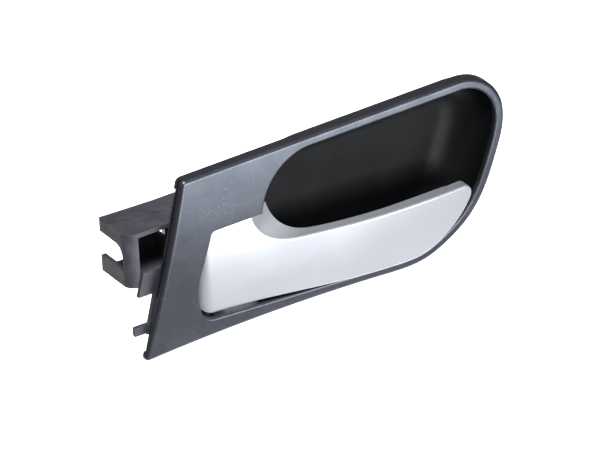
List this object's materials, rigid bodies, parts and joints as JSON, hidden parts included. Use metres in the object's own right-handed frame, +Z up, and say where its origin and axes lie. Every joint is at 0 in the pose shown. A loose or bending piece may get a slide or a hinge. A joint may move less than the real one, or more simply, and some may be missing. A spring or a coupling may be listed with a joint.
{
  "type": "car interior door handle",
  "caption": "Car door's inside handle: a sprung pull lever that turns on a pin across the lower half of a finger cup, in a moulded trim bezel with a slotted cable housing behind its left end.",
  "frame": {"origin": "Middle between the two rear fixing bosses, on the plane of their ends", "axes": "+X along the handle to the sitter's right, +Y into the door, +Z up"},
  "size_m": [0.1805, 0.0363, 0.081],
  "materials": {
    "graphite_trim": "fine moulded grain, metallic graphite",
    "black_cup": "smooth satin black",
    "black_carrier": "plain moulded black",
    "silver_satin": "satin silver paint on a moulding",
    "steel": "bright zinc",
    "black_rubber": "plain"
  },
  "bodies": {
    "base": {"bezel": "graphite_trim", "finger_cup": "black_cup", "carrier": "black_carrier", "pivot_pin": "steel", "pin_retainer": "steel", "return_spring": "steel", "rest_buffer": "black_rubber", "open_buffer": "black_rubber", "carrier_screws": "steel", "cup_screws": "steel"},
    "lever": {"lever_front": "silver_satin", "lever_rear": "silver_satin"}
  },
  "joints": [
    {"name": "lever_pull", "type": "hinge", "parent": "base", "child": "lever", "pos_m": [-0.0523, -0.0217, 0], "axis": [0, 0, -1], "range_deg": [0, 40], "stiffness_Nm_per_rad": 1.15, "springref_deg": -20.05, "deforming": ["return_spring"]}
  ]
}
